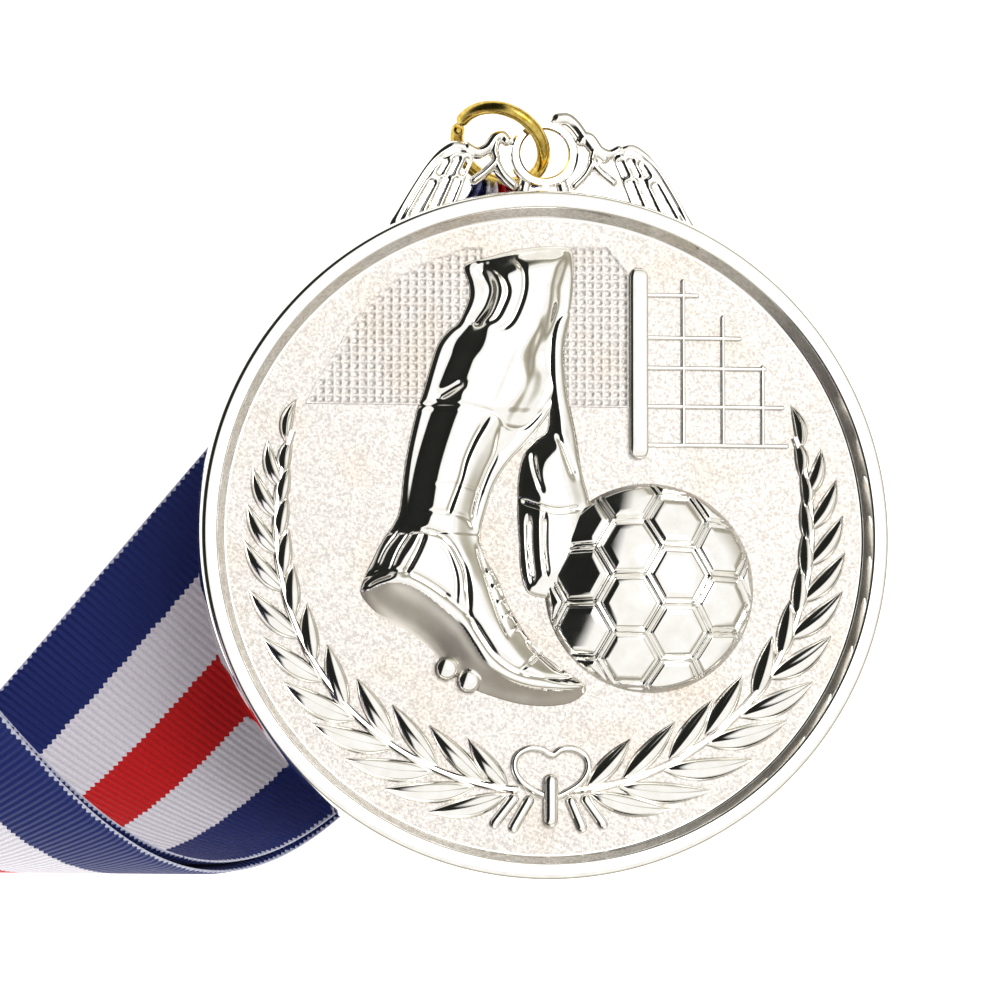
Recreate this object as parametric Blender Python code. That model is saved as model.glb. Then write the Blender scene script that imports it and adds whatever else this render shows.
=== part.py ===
"""A cast sports medal on a split ring and a striped neck ribbon.

Metres. The medal lies face up, and +Z points out of its face. +Y points to the hanger.
The ribbon is folded up under the medal, and its neck end curls up over the table at the
lower left. The origin is on the table, on the axis of the disc: the tape's underside
lies there.
"""

import math

import bmesh
import bpy
import numpy as np
from mathutils import Vector

MM = 0.001
GAP = 0.3 * MM

# medal casting
BACK_Z = 11.4 * MM
DISC_R = 25.0 * MM
RIM_Z = BACK_Z + 3.0 * MM
FIELD_Z = BACK_Z + 1.6 * MM
FIELD_R = 23.15 * MM
RIM_INNER_R = 23.9 * MM
DISC_STEPS = 96
RELIEF_RINGS = 18

# hanger
EYE = Vector((0.0, 27.8 * MM, BACK_Z + 1.3 * MM))
EYE_OUTER_R = 2.5 * MM
EYE_HOLE_R = 1.75 * MM
EYE_THICK = 1.2 * MM
WING_LOW, WING_HIGH = BACK_Z + 0.6 * MM, BACK_Z + 1.9 * MM

# split ring: its wire runs through the eye along RING_PATH, and its centre lies along RING_SIDE
RING_R = 3.3 * MM
WIRE_R = 0.5 * MM
RING_PATH = Vector((0.05, -0.72, -0.69)).normalized()
RING_SIDE = Vector((-0.923, 0.231, -0.308))
RING_SIDE = (RING_SIDE - RING_SIDE.dot(RING_PATH) * RING_PATH).normalized()
RING_CENTRE = EYE + RING_R * RING_SIDE
RING_LOW_POINT = RING_CENTRE + RING_R * RING_PATH
SPLIT_DEG = 6.0

# neck ribbon: two runs of tape lie on each other all the way
TAPE_WIDTH = 25.4 * MM
PAIR_THICK = 1.4 * MM
BAND_Z = PAIR_THICK / 2
BAND_ANGLE = math.radians(230)
BAND_POINT = Vector((-23.5, -12.4, BAND_Z / MM)) * MM
BAND_START = -26.0 * MM
CURL_R = 16.3 * MM
CURL_TURN = math.radians(178)
CURL_LINE_Y = -8.0 * MM
BAND_END = 48.0 * MM
STACK_ANGLE = math.radians(290)
STACK_CENTRE = Vector((2.6, 3.0)) * MM
STACK_LENGTH = 31.0 * MM
STACK_TOP = BACK_Z - 0.4 * MM
STACK_LOW = PAIR_THICK + GAP
HEM_INNER_R = 1.05 * MM
HEM_OUTER_R = 1.6 * MM
HEM_LENGTH = 3.2 * MM
NECK_TOP, NECK_LOW = BACK_Z - 1.6 * MM, BACK_Z - 3.4 * MM


def clear_scene():
    for obj in list(bpy.data.objects):
        bpy.data.objects.remove(obj, do_unlink=True)


def make_material(name, colour, roughness, metallic):
    material = bpy.data.materials.new(name)
    material.use_nodes = True
    shader = material.node_tree.nodes["Principled BSDF"]
    shader.inputs["Base Color"].default_value = (*colour, 1.0)
    shader.inputs["Roughness"].default_value = roughness
    shader.inputs["Metallic"].default_value = metallic
    return material


def mesh_object(name, points, faces, material, smooth=True):
    mesh = bpy.data.meshes.new(name)
    mesh.from_pydata([tuple(p) for p in points], [], [tuple(f) for f in faces])
    mesh.validate()
    obj = bpy.data.objects.new(name, mesh)
    bpy.context.collection.objects.link(obj)
    work = bmesh.new()
    work.from_mesh(mesh)
    bmesh.ops.recalc_face_normals(work, faces=work.faces)
    work.to_mesh(mesh)
    work.free()
    if smooth:
        mesh.shade_smooth()
        mesh.set_sharp_from_angle(angle=math.radians(35))
    if material:
        mesh.materials.append(material)
    return obj


def prism(name, outline, low, high):
    """A flat plate: an outline in the XY plane, extruded from low to high."""
    count = len(outline)
    points = [(x * MM, y * MM, low) for x, y in outline] + [(x * MM, y * MM, high) for x, y in outline]
    sides = [(i, (i + 1) % count, count + (i + 1) % count, count + i) for i in range(count)]
    faces = sides + [tuple(reversed(range(count))), tuple(range(count, 2 * count))]
    return mesh_object(name, points, faces, None, smooth=False)


def add_union(obj, tool):
    tool.hide_render = True
    tool.display_type = "WIRE"
    union = obj.modifiers.new(tool.name, "BOOLEAN")
    union.operation = "UNION"
    union.object = tool
    union.solver = "EXACT"


def near_chain(x, y, chain):
    """The height over a chain of round beads (x, y, radius, height), joined into one body."""
    height = np.zeros_like(x)
    for (x0, y0, r0, h0), (x1, y1, r1, h1) in zip(chain, chain[1:]):
        dx, dy = x1 - x0, y1 - y0
        t = np.clip(((x - x0) * dx + (y - y0) * dy) / (dx * dx + dy * dy), 0, 1)
        radius, top = r0 + t * (r1 - r0), h0 + t * (h1 - h0)
        far = np.hypot(x - x0 - t * dx, y - y0 - t * dy) / radius
        height = np.maximum(height, top * np.sqrt(np.clip(1 - far**2, 0, 1)))
    return height


def relief_height(x, y):
    """The relief over the field, in mm: ball, two legs, goal post and laurel wreath."""
    ball = 1.35 * np.sqrt(np.clip(1 - ((x - 7.4) ** 2 + (y + 3.9) ** 2) / 7.6**2, 0, 1))
    front = near_chain(
        x, y, [(-2.0, 20.0, 3.6, 1.2), (-3.2, 12.5, 4.4, 1.4), (-6.2, 6.0, 3.6, 1.3), (-8.0, 1.0, 2.9, 1.3),
               (-9.5, -3.0, 3.4, 1.3), (-5.0, -7.5, 3.2, 1.3), (1.5, -11.4, 1.3, 0.8)]
    )
    rear = near_chain(
        x, y, [(0.2, 15.0, 1.6, 0.8), (0.8, 6.5, 2.2, 0.9), (0.3, 0.0, 1.9, 0.9), (0.8, -3.2, 1.6, 0.8)]
    )
    post = near_chain(x, y, [(6.6, 6.5, 0.9, 0.7), (6.6, 18.8, 0.9, 0.7)])
    radius, angle = np.hypot(x, y), np.degrees(np.arctan2(-y, np.abs(x)))
    wreath = np.where((np.abs(radius - 19.2) < 2.0) & (angle > -25) & (angle < 85), 0.6, 0.0)
    return np.max([ball, front, rear, post, wreath], axis=0)


def make_casting(material):
    """Disc, raised rim and relief as rings of points, then the eye, wings and struts joined on."""
    field = np.linspace(0, FIELD_R, RELIEF_RINGS + 1)[1:]
    rings = [(r, FIELD_Z, True) for r in field]
    rings += [
        (RIM_INNER_R, RIM_Z - 0.15 * MM, False),
        (RIM_INNER_R + 0.25 * MM, RIM_Z, False),
        (DISC_R - 0.5 * MM, RIM_Z, False),
        (DISC_R, RIM_Z - 0.6 * MM, False),
        (DISC_R, BACK_Z + 0.5 * MM, False),
        (DISC_R - 0.4 * MM, BACK_Z, False),
    ]
    angles = np.arange(DISC_STEPS) * 2 * np.pi / DISC_STEPS
    points = [(0.0, 0.0, FIELD_Z)]
    for index, (radius, top, carved) in enumerate(rings):
        x, y = radius * np.cos(angles), radius * np.sin(angles)
        raised = relief_height(x / MM, y / MM) * MM if carved and index < RELIEF_RINGS - 1 else 0 * x
        points += list(zip(x, y, top + raised))
    points.append((0.0, 0.0, BACK_Z))
    faces = []
    for i in range(DISC_STEPS):
        j = (i + 1) % DISC_STEPS
        faces.append((0, 1 + i, 1 + j))
        for ring in range(len(rings) - 1):
            low = 1 + ring * DISC_STEPS
            faces.append((low + i, low + DISC_STEPS + i, low + DISC_STEPS + j, low + j))
        last = 1 + (len(rings) - 1) * DISC_STEPS
        faces.append((last + j, last + i, len(points) - 1))
    casting = mesh_object("medal_casting", points, faces, material)
    for side in (-1, 1):
        wing = [(11.2, 22.9), (10.3, 25.2), (8.7, 27.4), (6.7, 28.6), (5.2, 28.3)]
        wing += [(5.4, 26.2), (6.2, 24.2), (6.0, 22.6), (10.0, 21.4)]
        outline = [(side * x, y) for x, y in wing]
        add_union(casting, prism(f"wing_{side}", outline, WING_LOW, WING_HIGH))
        strut = [(1.6, 25.6), (2.6, 26.6), (5.9, 28.3), (6.2, 27.3), (4.6, 26.6), (2.9, 25.3)]
        strut = [(side * x, y) for x, y in strut]
        add_union(casting, prism(f"strut_{side}", strut, WING_LOW + 0.1 * MM, WING_HIGH - 0.1 * MM))
    head = [(1.9, 28.9), (0.9, 30.2), (1.9, 30.9), (3.0, 30.3), (3.9, 28.2), (2.9, 26.9)]
    add_union(casting, prism("head", head, WING_LOW + 0.1 * MM, WING_HIGH - 0.1 * MM))
    neck = [(-1.5, 24.0), (1.5, 24.0), (1.3, 25.9), (-1.3, 25.9)]
    add_union(casting, prism("neck", neck, WING_LOW, WING_HIGH))
    add_union(casting, make_tube("eye", EYE, Vector((0, 0, 1)), EYE_HOLE_R, EYE_OUTER_R, EYE_THICK, 32))
    return casting


def make_tube(name, centre, axis, inner, outer, length, steps, material=None):
    """A short round tube about an axis, its four corners eased."""
    ease = min(0.2 * MM, (outer - inner) / 4)
    half = length / 2
    section = [
        (inner + ease, half), (outer - ease, half), (outer, half - ease), (outer, ease - half),
        (outer - ease, -half), (inner + ease, -half), (inner, ease - half), (inner, half - ease),
    ]
    turn = Vector((0, 0, 1)).rotation_difference(axis).to_matrix()
    points, faces = [], []
    for i in range(steps):
        angle = 2 * math.pi * i / steps
        for radius, up in section:
            points.append(centre + turn @ Vector((radius * math.cos(angle), radius * math.sin(angle), up)))
    for i in range(steps):
        for k in range(8):
            a, b = i * 8 + k, i * 8 + (k + 1) % 8
            c, d = ((i + 1) % steps) * 8 + (k + 1) % 8, ((i + 1) % steps) * 8 + k
            faces.append((a, d, c, b))
    return mesh_object(name, points, faces, material)


def make_ring(material):
    """Round wire bent to a circle, with its two cut ends almost closed."""
    steps, sides = 40, 10
    start, stop = math.radians(200 + SPLIT_DEG / 2), math.radians(560 - SPLIT_DEG / 2)
    normal = RING_SIDE.cross(RING_PATH)
    points, faces = [], []
    for i in range(steps + 1):
        angle = start + (stop - start) * i / steps
        outward = -math.cos(angle) * RING_SIDE + math.sin(angle) * RING_PATH
        for k in range(sides):
            turn = 2 * math.pi * k / sides
            middle = RING_CENTRE + (RING_R + WIRE_R * math.cos(turn)) * outward
            points.append(middle + WIRE_R * math.sin(turn) * normal)
    for i in range(steps):
        for k in range(sides):
            a, b = i * sides + k, i * sides + (k + 1) % sides
            faces.append((a, b, b + sides, a + sides))
    faces += [tuple(range(sides)), tuple(reversed(range(steps * sides, (steps + 1) * sides)))]
    return mesh_object("split_ring", points, faces, material)


def roll(points, beyond, along, radius, turn):
    """Bend flat tape about a straight line. Points are rows (x, y, z) with the line at x = 0.

    A point at a distance beyond the line goes round an arc of that length, its own height
    above the tape kept, and past the full turn it goes straight on.
    """
    angle = np.clip(beyond / radius, 0, turn)
    straight = beyond - angle * radius
    out = np.sin(angle) * (radius - points[:, 2]) + straight * np.cos(angle)
    up = radius - np.cos(angle) * (radius - points[:, 2]) + straight * np.sin(angle)
    return np.stack([out, along, up], axis=1)


def band_place(length, across, lift):
    """World place of a point of the band: its length from BAND_POINT, its place across, its lift."""
    ahead = np.array([math.cos(BAND_ANGLE), math.sin(BAND_ANGLE)])
    side = np.array([ahead[1], -ahead[0]])
    flat = np.array(BAND_POINT.xy) + length[:, None] * ahead + across[:, None] * side
    beyond = CURL_LINE_Y - flat[:, 1]
    rows = np.stack([beyond, flat[:, 0], lift], axis=1)
    curled = roll(rows, np.maximum(beyond, 0), flat[:, 0], CURL_R, CURL_TURN)
    out = np.where(beyond > 0, curled[:, 0], beyond)
    up = np.where(beyond > 0, curled[:, 2], lift)
    return np.stack([flat[:, 0], CURL_LINE_Y - out, BAND_Z + up], axis=1)


def make_band(material):
    """The two runs of tape from under the medal to the neck end, as one bent slab."""
    steps, cells = 46, 5
    length = np.linspace(BAND_START, BAND_END, steps + 1)
    across = np.linspace(-TAPE_WIDTH / 2, TAPE_WIDTH / 2, cells + 1)
    layers = []
    for lift in (-PAIR_THICK / 2, PAIR_THICK / 2):
        grid_l, grid_a = np.meshgrid(length, across, indexing="ij")
        layers.append(band_place(grid_l.ravel(), grid_a.ravel(), np.full(grid_l.size, lift)))
    points = np.concatenate(layers)
    row, layer = cells + 1, (steps + 1) * (cells + 1)
    faces = []
    for i in range(steps):
        for k in range(cells):
            a = i * row + k
            b = layer + a
            faces += [(a, a + 1, a + 1 + row, a + row), (b, b + row, b + row + 1, b + 1)]
        for k in (0, cells):
            a = i * row + k
            faces.append((a, a + row, layer + a + row, layer + a))
    for i in (0, steps):
        for k in range(cells):
            a = i * row + k
            faces.append((a, a + 1, layer + a + 1, layer + a))
    return mesh_object("ribbon_curl", points, faces, material)


def make_stack(material):
    """The folded length of ribbon: a block with round fold ends, lying under the medal."""
    round_r, steps = 1.2 * MM, 4
    reach, rise = STACK_LENGTH / 2 - round_r, (STACK_TOP - STACK_LOW) / 2 - round_r
    middle = (STACK_TOP + STACK_LOW) / 2
    outline = []
    for quarter, (end, lift) in enumerate(((1, 1), (-1, 1), (-1, -1), (1, -1))):
        for step in range(steps + 1):
            angle = math.pi / 2 * (quarter + step / steps)
            x = end * reach + round_r * math.cos(angle)
            outline.append((x, middle + lift * rise + round_r * math.sin(angle)))
    ahead = Vector((math.cos(STACK_ANGLE), math.sin(STACK_ANGLE), 0))
    side = Vector((-ahead.y, ahead.x, 0))
    count = len(outline)
    points = []
    for across in (-TAPE_WIDTH / 2, TAPE_WIDTH / 2):
        origin = Vector((*STACK_CENTRE, 0)) + across * side
        points += [origin + x * ahead + Vector((0, 0, z)) for x, z in outline]
    faces = [(i, (i + 1) % count, count + (i + 1) % count, count + i) for i in range(count)]
    faces += [tuple(reversed(range(count))), tuple(range(count, 2 * count))]
    return mesh_object("ribbon_folds", points, faces, material)


def make_neck(material):
    """The gathered end: a tapered tongue from the folds to a hem round the ring's wire."""
    ahead = Vector((math.cos(STACK_ANGLE), math.sin(STACK_ANGLE), 0))
    side = Vector((-ahead.y, ahead.x, 0))
    foot = Vector((*STACK_CENTRE, 0)) - (STACK_LENGTH / 2 + GAP) * ahead
    hem = RING_LOW_POINT
    tip = Vector((hem.x, hem.y - HEM_INNER_R - 0.3 * MM, 0))
    half_foot, half_tip = 9.0 * MM * side, Vector((1.5 * MM, 0, 0))
    corners = [foot - half_foot, foot + half_foot, tip + half_tip, tip - half_tip]
    outline = [(c.x / MM, c.y / MM) for c in corners]
    neck = prism("ribbon_neck", outline, NECK_LOW, NECK_TOP)
    neck.data.materials.append(material)
    add_union(neck, make_tube("hem", hem, RING_SIDE, HEM_INNER_R, HEM_OUTER_R, HEM_LENGTH, 20))
    return neck


def make_bar_tack(material):
    """The dense bar of thread that closes the gathered end, on the tongue's underside."""
    hem = RING_LOW_POINT
    top, half, wide, thick = NECK_LOW - GAP, 1.5, 0.8, 0.4 * MM
    x, y = hem.x / MM, hem.y / MM - 3.4
    outline = [(x - half, y - wide), (x + half, y - wide), (x + half, y), (x - half, y)]
    tack = prism("bar_tack", outline, top - thick, top)
    tack.data.materials.append(material)
    return tack


def main():
    clear_scene()
    silver = make_material("polished_nickel", (0.78, 0.77, 0.74), 0.15, 1.0)
    brass = make_material("brass_wire", (0.72, 0.56, 0.22), 0.25, 1.0)
    cloth = make_material("polyester_ribbon", (0.08, 0.12, 0.4), 0.8, 0.0)
    thread = make_material("polyester_thread", (0.85, 0.85, 0.9), 0.7, 0.0)
    make_casting(silver)
    make_ring(brass)
    make_band(cloth)
    make_stack(cloth)
    make_neck(cloth)
    make_bar_tack(thread)


main()
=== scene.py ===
import math

import bpy
import numpy as np
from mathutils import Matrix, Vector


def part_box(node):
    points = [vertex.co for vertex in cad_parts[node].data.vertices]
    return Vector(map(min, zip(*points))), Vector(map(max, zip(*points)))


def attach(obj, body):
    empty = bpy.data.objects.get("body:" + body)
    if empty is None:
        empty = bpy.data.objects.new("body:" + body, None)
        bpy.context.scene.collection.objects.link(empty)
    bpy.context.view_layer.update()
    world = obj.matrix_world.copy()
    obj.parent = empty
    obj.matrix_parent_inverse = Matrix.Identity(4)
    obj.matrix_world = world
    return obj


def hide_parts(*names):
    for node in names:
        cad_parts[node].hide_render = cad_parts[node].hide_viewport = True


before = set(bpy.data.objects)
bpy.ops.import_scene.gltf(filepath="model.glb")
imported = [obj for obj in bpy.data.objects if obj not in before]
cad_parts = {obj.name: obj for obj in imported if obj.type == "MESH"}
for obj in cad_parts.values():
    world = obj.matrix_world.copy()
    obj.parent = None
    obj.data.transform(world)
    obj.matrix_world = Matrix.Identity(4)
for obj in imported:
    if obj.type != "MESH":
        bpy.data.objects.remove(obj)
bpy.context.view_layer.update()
MM = 0.001

# ---------------------------------------------------------------- camera, table and light
# The medal lies face up on a white table. A long lens looks down on it from a little to
# the lower left, so that the relief shows its depth and the circles stay round.

casting_low, casting_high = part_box("medal_casting")
RIM_Z, BACK_Z = casting_high.z, casting_low.z
FIELD_Z = RIM_Z - 1.4 * MM
DISC_R = casting_high.x
VIEW_WIDTH = 71.9 * MM
VIEW_POINT = (-3.37 * MM, 2.41 * MM, RIM_Z)
VIEW_DISTANCE = 0.7
VIEW_TILT = math.radians(9.0)
VIEW_SIDE = math.radians(225.0)

camera_data = bpy.data.cameras.new("long_lens")
camera_data.sensor_width = 36.0
camera_data.lens = 36.0 * VIEW_DISTANCE / VIEW_WIDTH
camera_data.clip_end = 10.0
camera = bpy.data.objects.new("long_lens", camera_data)
bpy.context.collection.objects.link(camera)
toward = np.array([
    math.sin(VIEW_TILT) * math.cos(VIEW_SIDE),
    math.sin(VIEW_TILT) * math.sin(VIEW_SIDE),
    math.cos(VIEW_TILT),
])
camera.location = np.array(VIEW_POINT) + VIEW_DISTANCE * toward
right = np.cross([0.0, 1.0, 0.0], toward)
right /= np.linalg.norm(right)
upward = np.cross(toward, right)
frame_matrix = np.eye(4)
for column, vector in enumerate((right, upward, toward, camera.location)):
    frame_matrix[:3, column] = vector
camera.matrix_world = frame_matrix.T.tolist()
bpy.context.scene.camera = camera
bpy.context.scene.view_settings.view_transform = "Standard"


def linear(colour):
    """An sRGB hex colour, such as "E4E0DC", as linear red, green, blue and alpha."""
    parts = [int(colour[i:i + 2], 16) / 255 for i in (0, 2, 4)]
    return (*[c / 12.92 if c <= 0.04045 else ((c + 0.055) / 1.055) ** 2.4 for c in parts], 1.0)


def add_node(tree, kind, settings=None, links=None, stops=()):
    """A node of that kind, with its settings: properties and input values.

    links gives the source of each input, a socket or a node for its first output. stops are
    a colour ramp's (place, hex colour).
    """
    node = tree.nodes.new(kind)
    for name, value in (settings or {}).items():
        if isinstance(name, str) and hasattr(node, name):
            setattr(node, name, value)
        else:
            node.inputs[name].default_value = value
    for name, source in (links or {}).items():
        socket = source.outputs[0] if hasattr(source, "outputs") else source
        tree.links.new(socket, node.inputs[name])
    for _ in stops[2:]:
        node.color_ramp.elements.new(0.5)
    for number, (place, colour) in enumerate(stops):
        node.color_ramp.elements[number].position = place
        node.color_ramp.elements[number].color = linear(colour)
    return node


def new_material(name):
    """A material with its Principled shader, as (material, tree, shader)."""
    material = bpy.data.materials.new(name)
    material.use_nodes = True
    return material, material.node_tree, material.node_tree.nodes["Principled BSDF"]


def table_white():
    """White laminate on a light table: matt, and bright enough to leave only a faint shadow."""
    material, _, shader = new_material("white_light_table")
    shader.inputs["Base Color"].default_value = linear("F4F4F4")
    shader.inputs["Roughness"].default_value = 0.7
    shader.inputs["Emission Color"].default_value = linear("FFFFFF")
    shader.inputs["Emission Strength"].default_value = 0.8
    return material


def solid(name, grids, material, closed_u=False, uv=None):
    """One mesh from grids of points (u, v, 3), closed in v. Ends are capped unless closed in u.

    A grid is turned outwards by the sign of its volume, a sixth of the sum of a . (b x c)
    over its triangles.
    """
    points, faces, start = [], [], 0
    for grid in grids:
        nu, nv = grid.shape[:2]
        centre = grid.reshape(-1, 3).mean(axis=0)
        index = np.arange(nu * nv).reshape(nu, nv)
        ahead = np.roll(index, -1, axis=0) if closed_u else index[1:]
        here = index if closed_u else index[:-1]
        quads = np.stack([here, ahead, np.roll(ahead, -1, axis=1), np.roll(here, -1, axis=1)], axis=-1)
        quads = quads.reshape(-1, 4)
        flat = grid.reshape(-1, 3) - centre
        corners = flat[quads]
        size = np.einsum("ij,ij->", corners[:, 0], np.cross(corners[:, 1], corners[:, 2]))
        size += np.einsum("ij,ij->", corners[:, 0], np.cross(corners[:, 2], corners[:, 3]))
        ends = [] if closed_u else [index[0].tolist(), index[-1][::-1].tolist()]
        shapes = quads.tolist() + ends
        if size < 0:
            shapes = [face[::-1] for face in shapes]
        faces += [[start + k for k in face] for face in shapes]
        points += grid.reshape(-1, 3).tolist()
        start += nu * nv
    mesh = bpy.data.meshes.new(name)
    mesh.from_pydata(points, [], faces)
    if uv is not None:
        layer = mesh.uv_layers.new(name="UVMap")
        corner = np.empty(len(mesh.loops), dtype=np.int64)
        mesh.loops.foreach_get("vertex_index", corner)
        layer.data.foreach_set("uv", uv.reshape(-1, 2)[corner].ravel())
    mesh.shade_smooth()
    mesh.set_sharp_from_angle(angle=math.radians(42.0))
    mesh.materials.append(material)
    obj = bpy.data.objects.new(name, mesh)
    bpy.context.collection.objects.link(obj)
    return obj


TABLE_HALF, TABLE_THICK, TABLE_GAP = 3.0, 0.02, 0.02 * MM
table_corners = TABLE_HALF * np.array([(-1, -1, 0), (1, -1, 0), (1, 1, 0), (-1, 1, 0)])
table_slab = np.stack([table_corners - (0, 0, TABLE_THICK), table_corners - (0, 0, TABLE_GAP)])
table_top = solid("table_top", [table_slab], table_white())


def studio_world():
    """A white tent: bright overhead, a dark gap low down on the left, softer grey on the right."""
    world = bpy.data.worlds.new("white_tent")
    world.use_nodes = True
    tree = world.node_tree
    way = add_node(tree, "ShaderNodeTexCoord").outputs["Generated"]
    height = add_node(tree, "ShaderNodeSeparateXYZ", links={"Vector": way}).outputs["Z"]
    dark_gap = [(0.0, "E8E8E4"), (0.1, "D4D4D0"), (0.26, "2B2C2A"), (0.9, "1E1F1D")]
    white_cloth = [(0.0, "C8C3B8"), (0.2, "9A9588"), (0.38, "BDB9AC"), (0.55, "FFFFFF")]
    left = add_node(tree, "ShaderNodeValToRGB", links={"Fac": height}, stops=dark_gap)
    rest = add_node(tree, "ShaderNodeValToRGB", links={"Fac": height}, stops=white_cloth)
    facing = {"operation": "DOT_PRODUCT", 1: (0.94, -0.34, 0.0)}
    side = add_node(tree, "ShaderNodeVectorMath", facing, {0: way}).outputs["Value"]
    lean = add_node(tree, "ShaderNodeMapRange", {"From Min": -0.4, "From Max": -0.3}, {"Value": side})
    mixed = add_node(tree, "ShaderNodeMix", {"data_type": "RGBA"}, {"Factor": lean, 6: left, 7: rest})
    tree.links.new(mixed.outputs[2], tree.nodes["Background"].inputs["Color"])
    tree.nodes["Background"].inputs["Strength"].default_value = 1.05
    return world


bpy.context.scene.world = studio_world()


def soft_box(name, place, size, power):
    """A square softbox that looks at the medal."""
    light = bpy.data.lights.new(name, "AREA")
    light.size, light.energy = size, power
    obj = bpy.data.objects.new(name, light)
    bpy.context.collection.objects.link(obj)
    obj.location = place
    away = np.array(place) / np.linalg.norm(place)
    across = np.cross([0.0, 1.0, 0.0], away)
    across /= np.linalg.norm(across)
    matrix = np.eye(4)
    for column, vector in enumerate((across, np.cross(away, across), away, place)):
        matrix[:3, column] = vector
    obj.matrix_world = matrix.T.tolist()


soft_box("overhead_softbox", (0.25, 0.2, 0.9), 0.5, 2.0)

# ---------------------------------------------------------------- the disc
# One zinc-alloy die casting, nickel plated. The rim is polished to a mirror and rounded over
# on both edges; the field inside it is sand-blasted, and a drafted wall joins the two.

FIELD_R, FIELD_EDGE = 23.15 * MM, 23.3 * MM
AXIS_R = 0.001 * MM


def polished_nickel():
    """Nickel plate on a buffed casting: a warm mirror, with hazy spots about a millimetre apart."""
    material, tree, shader = new_material("polished_nickel")
    place = add_node(tree, "ShaderNodeTexCoord").outputs["Object"]
    haze = add_node(tree, "ShaderNodeTexNoise", {"Scale": 900.0, "Detail": 3.0}, {"Vector": place})
    whites = [(0.3, "F1EEE6"), (0.7, "FBF9F4")]
    tint = add_node(tree, "ShaderNodeValToRGB", links={"Fac": haze}, stops=whites)
    rough = add_node(tree, "ShaderNodeMapRange", {"To Min": 0.04, "To Max": 0.12}, {"Value": haze})
    wave = add_node(tree, "ShaderNodeTexNoise", {"Scale": 700.0, "Detail": 2.0}, {"Vector": place})
    bump = add_node(tree, "ShaderNodeBump", {"Strength": 0.12, "Distance": 0.02 * MM}, {"Height": wave})
    tree.links.new(tint.outputs["Color"], shader.inputs["Base Color"])
    tree.links.new(rough.outputs["Result"], shader.inputs["Roughness"])
    tree.links.new(bump.outputs["Normal"], shader.inputs["Normal"])
    shader.inputs["Metallic"].default_value = 1.0
    return material


def blasted_nickel():
    """The same plate over a sand-blasted die: fine pale grains about 0.25 mm across, no mirror."""
    material, tree, shader = new_material("sand_blasted_nickel")
    place = add_node(tree, "ShaderNodeTexCoord").outputs["Object"]
    sand = {"Scale": 4800.0, "Detail": 2.0, "Roughness": 0.6}
    grain = add_node(tree, "ShaderNodeTexNoise", sand, {"Vector": place})
    stain = add_node(tree, "ShaderNodeTexNoise", {"Scale": 160.0, "Detail": 4.0}, {"Vector": place})
    greys = [(0.36, "B4AFA9"), (0.5, "C9C4BE"), (0.64, "D6D1CC")]
    base = add_node(tree, "ShaderNodeValToRGB", links={"Fac": grain}, stops=greys)
    creams = [(0.5, "FFFFFF"), (0.8, "FBF0E2")]
    warm = add_node(tree, "ShaderNodeValToRGB", links={"Fac": stain}, stops=creams)
    over = {"data_type": "RGBA", "blend_type": "MULTIPLY", 0: 0.8}
    both = add_node(tree, "ShaderNodeMix", over, {6: base, 7: warm})
    bump = add_node(tree, "ShaderNodeBump", {"Strength": 0.4, "Distance": 0.05 * MM}, {"Height": grain})
    tree.links.new(both.outputs[2], shader.inputs["Base Color"])
    tree.links.new(bump.outputs["Normal"], shader.inputs["Normal"])
    shader.inputs["Metallic"].default_value = 1.0
    shader.inputs["Roughness"].default_value = 0.42
    return material


def satin_nickel():
    """The plate where the buffing wheel doesn't reach: a soft grey without a mirror."""
    material, tree, shader = new_material("satin_nickel")
    place = add_node(tree, "ShaderNodeTexCoord").outputs["Object"]
    cloud = add_node(tree, "ShaderNodeTexNoise", {"Scale": 400.0, "Detail": 3.0}, {"Vector": place})
    greys = [(0.3, "BBB4A9"), (0.7, "D2CCC2")]
    tint = add_node(tree, "ShaderNodeValToRGB", links={"Fac": cloud}, stops=greys)
    tree.links.new(tint.outputs["Color"], shader.inputs["Base Color"])
    shader.inputs["Metallic"].default_value = 1.0
    shader.inputs["Roughness"].default_value = 0.5
    return material


NICKEL = polished_nickel()
BLASTED = blasted_nickel()
SATIN = satin_nickel()


def turned(name, profile, material, steps=540):
    """A profile of (radius, height) turned about the Z axis."""
    angle = np.arange(steps) * 2 * np.pi / steps
    r, z = np.array(profile).T
    points = np.stack([
        r[:, None] * np.cos(angle), r[:, None] * np.sin(angle), np.repeat(z[:, None], steps, axis=1)
    ], axis=-1)
    return solid(name, [points], material)


def arc(centre, radius, start, stop, steps):
    """Points round a centre, angles in degrees, (radius, height) pairs."""
    angle = np.radians(np.linspace(start, stop, steps))
    return [(centre[0] + radius * math.cos(a), centre[1] + radius * math.sin(a)) for a in angle]


field_low = FIELD_Z - 0.2 * MM
field_profile = [(AXIS_R, field_low), (FIELD_EDGE, field_low), (FIELD_EDGE, FIELD_Z), (AXIS_R, FIELD_Z)]
field = turned("blasted_field", field_profile, BLASTED)

rim_floor = FIELD_Z - 0.1 * MM
rim_back = BACK_Z + 0.12 * MM
rim_profile = [(AXIS_R, rim_floor), (FIELD_R - 0.3 * MM, rim_floor), (FIELD_R - 0.12 * MM, FIELD_Z)]
rim_profile += arc((FIELD_R - 0.12 * MM, FIELD_Z + 0.25 * MM), 0.25 * MM, -90, -28, 8)
rim_profile += arc((23.95 * MM, RIM_Z - 0.28 * MM), 0.28 * MM, 152, 90, 10)
rim_profile += [(24.2 * MM, RIM_Z)]
rim_profile += arc((DISC_R - 0.5 * MM, RIM_Z - 0.5 * MM), 0.5 * MM, 90, 0, 16)
rim_profile += arc((DISC_R - 0.3 * MM, BACK_Z + 0.3 * MM), 0.3 * MM, 0, -90, 8)
rim_profile += [(22.6 * MM, BACK_Z), (22.4 * MM, rim_back), (AXIS_R, rim_back)]
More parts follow.
